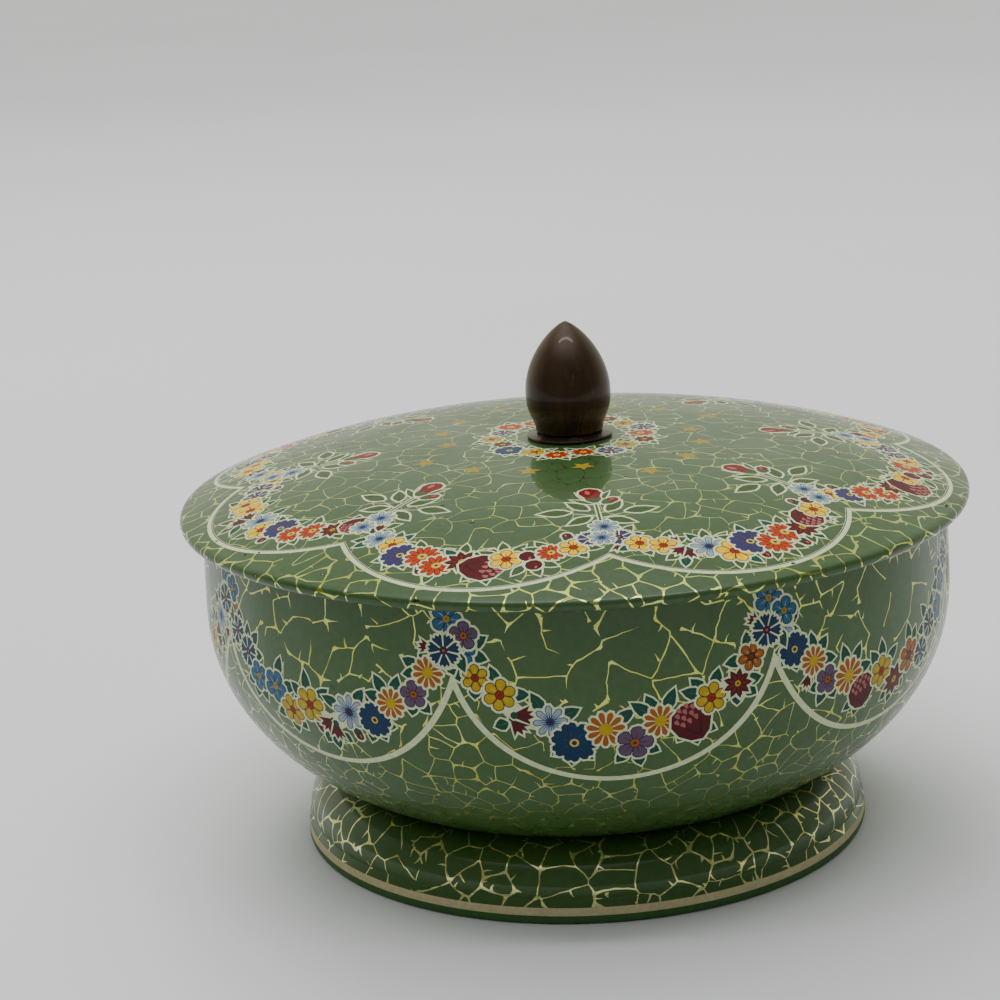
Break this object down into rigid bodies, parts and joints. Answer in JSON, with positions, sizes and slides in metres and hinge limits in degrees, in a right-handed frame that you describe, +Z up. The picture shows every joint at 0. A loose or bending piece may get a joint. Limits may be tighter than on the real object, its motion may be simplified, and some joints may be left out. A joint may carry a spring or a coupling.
{
  "type": "footed candy tin",
  "caption": "Round footed candy tin: drawn sheet-metal bowl on a pressed foot ring, closed by a domed lift-off lid with an acorn knob.",
  "frame": {"origin": "centre of the circle that the foot's rolled edge stands on, at the lowest point of the tin", "axes": "+Z up along the tin's axis of revolution; +X and +Y are any two level directions at right angles"},
  "size_m": [0.174, 0.174, 0.1143],
  "materials": {
    "printed_tin_bowl": "glossy lacquered green print with flower swags, a cream line and gold cracks",
    "printed_tin_foot": "glossy lacquered dark green print with gold cracks and a cream line",
    "printed_tin_lid": "glossy lacquered green print with flower swags, a wreath, rosebuds, a cream line and gold cracks",
    "plain_tin": "plain tinplate under clear lacquer",
    "knob_plastic": "polished dark brown marbled moulding",
    "collar_metal": "dark bronze lacquer",
    "insert_brass": "machined",
    "screw_steel": "zinc plated"
  },
  "bodies": {
    "bowl": {"bowl": "printed_tin_bowl", "foot": "printed_tin_foot"},
    "lid": {"lid": "printed_tin_lid", "lid_locating_ring": "plain_tin", "knob": "knob_plastic", "knob_collar": "collar_metal", "knob_insert": "insert_brass", "knob_screw": "screw_steel", "screw_washer": "screw_steel"}
  },
  "joints": [
    {"name": "lid_lift", "type": "slide", "parent": "bowl", "child": "lid", "axis": [0, 0, 1], "range_m": [0, 0.06]}
  ]
}
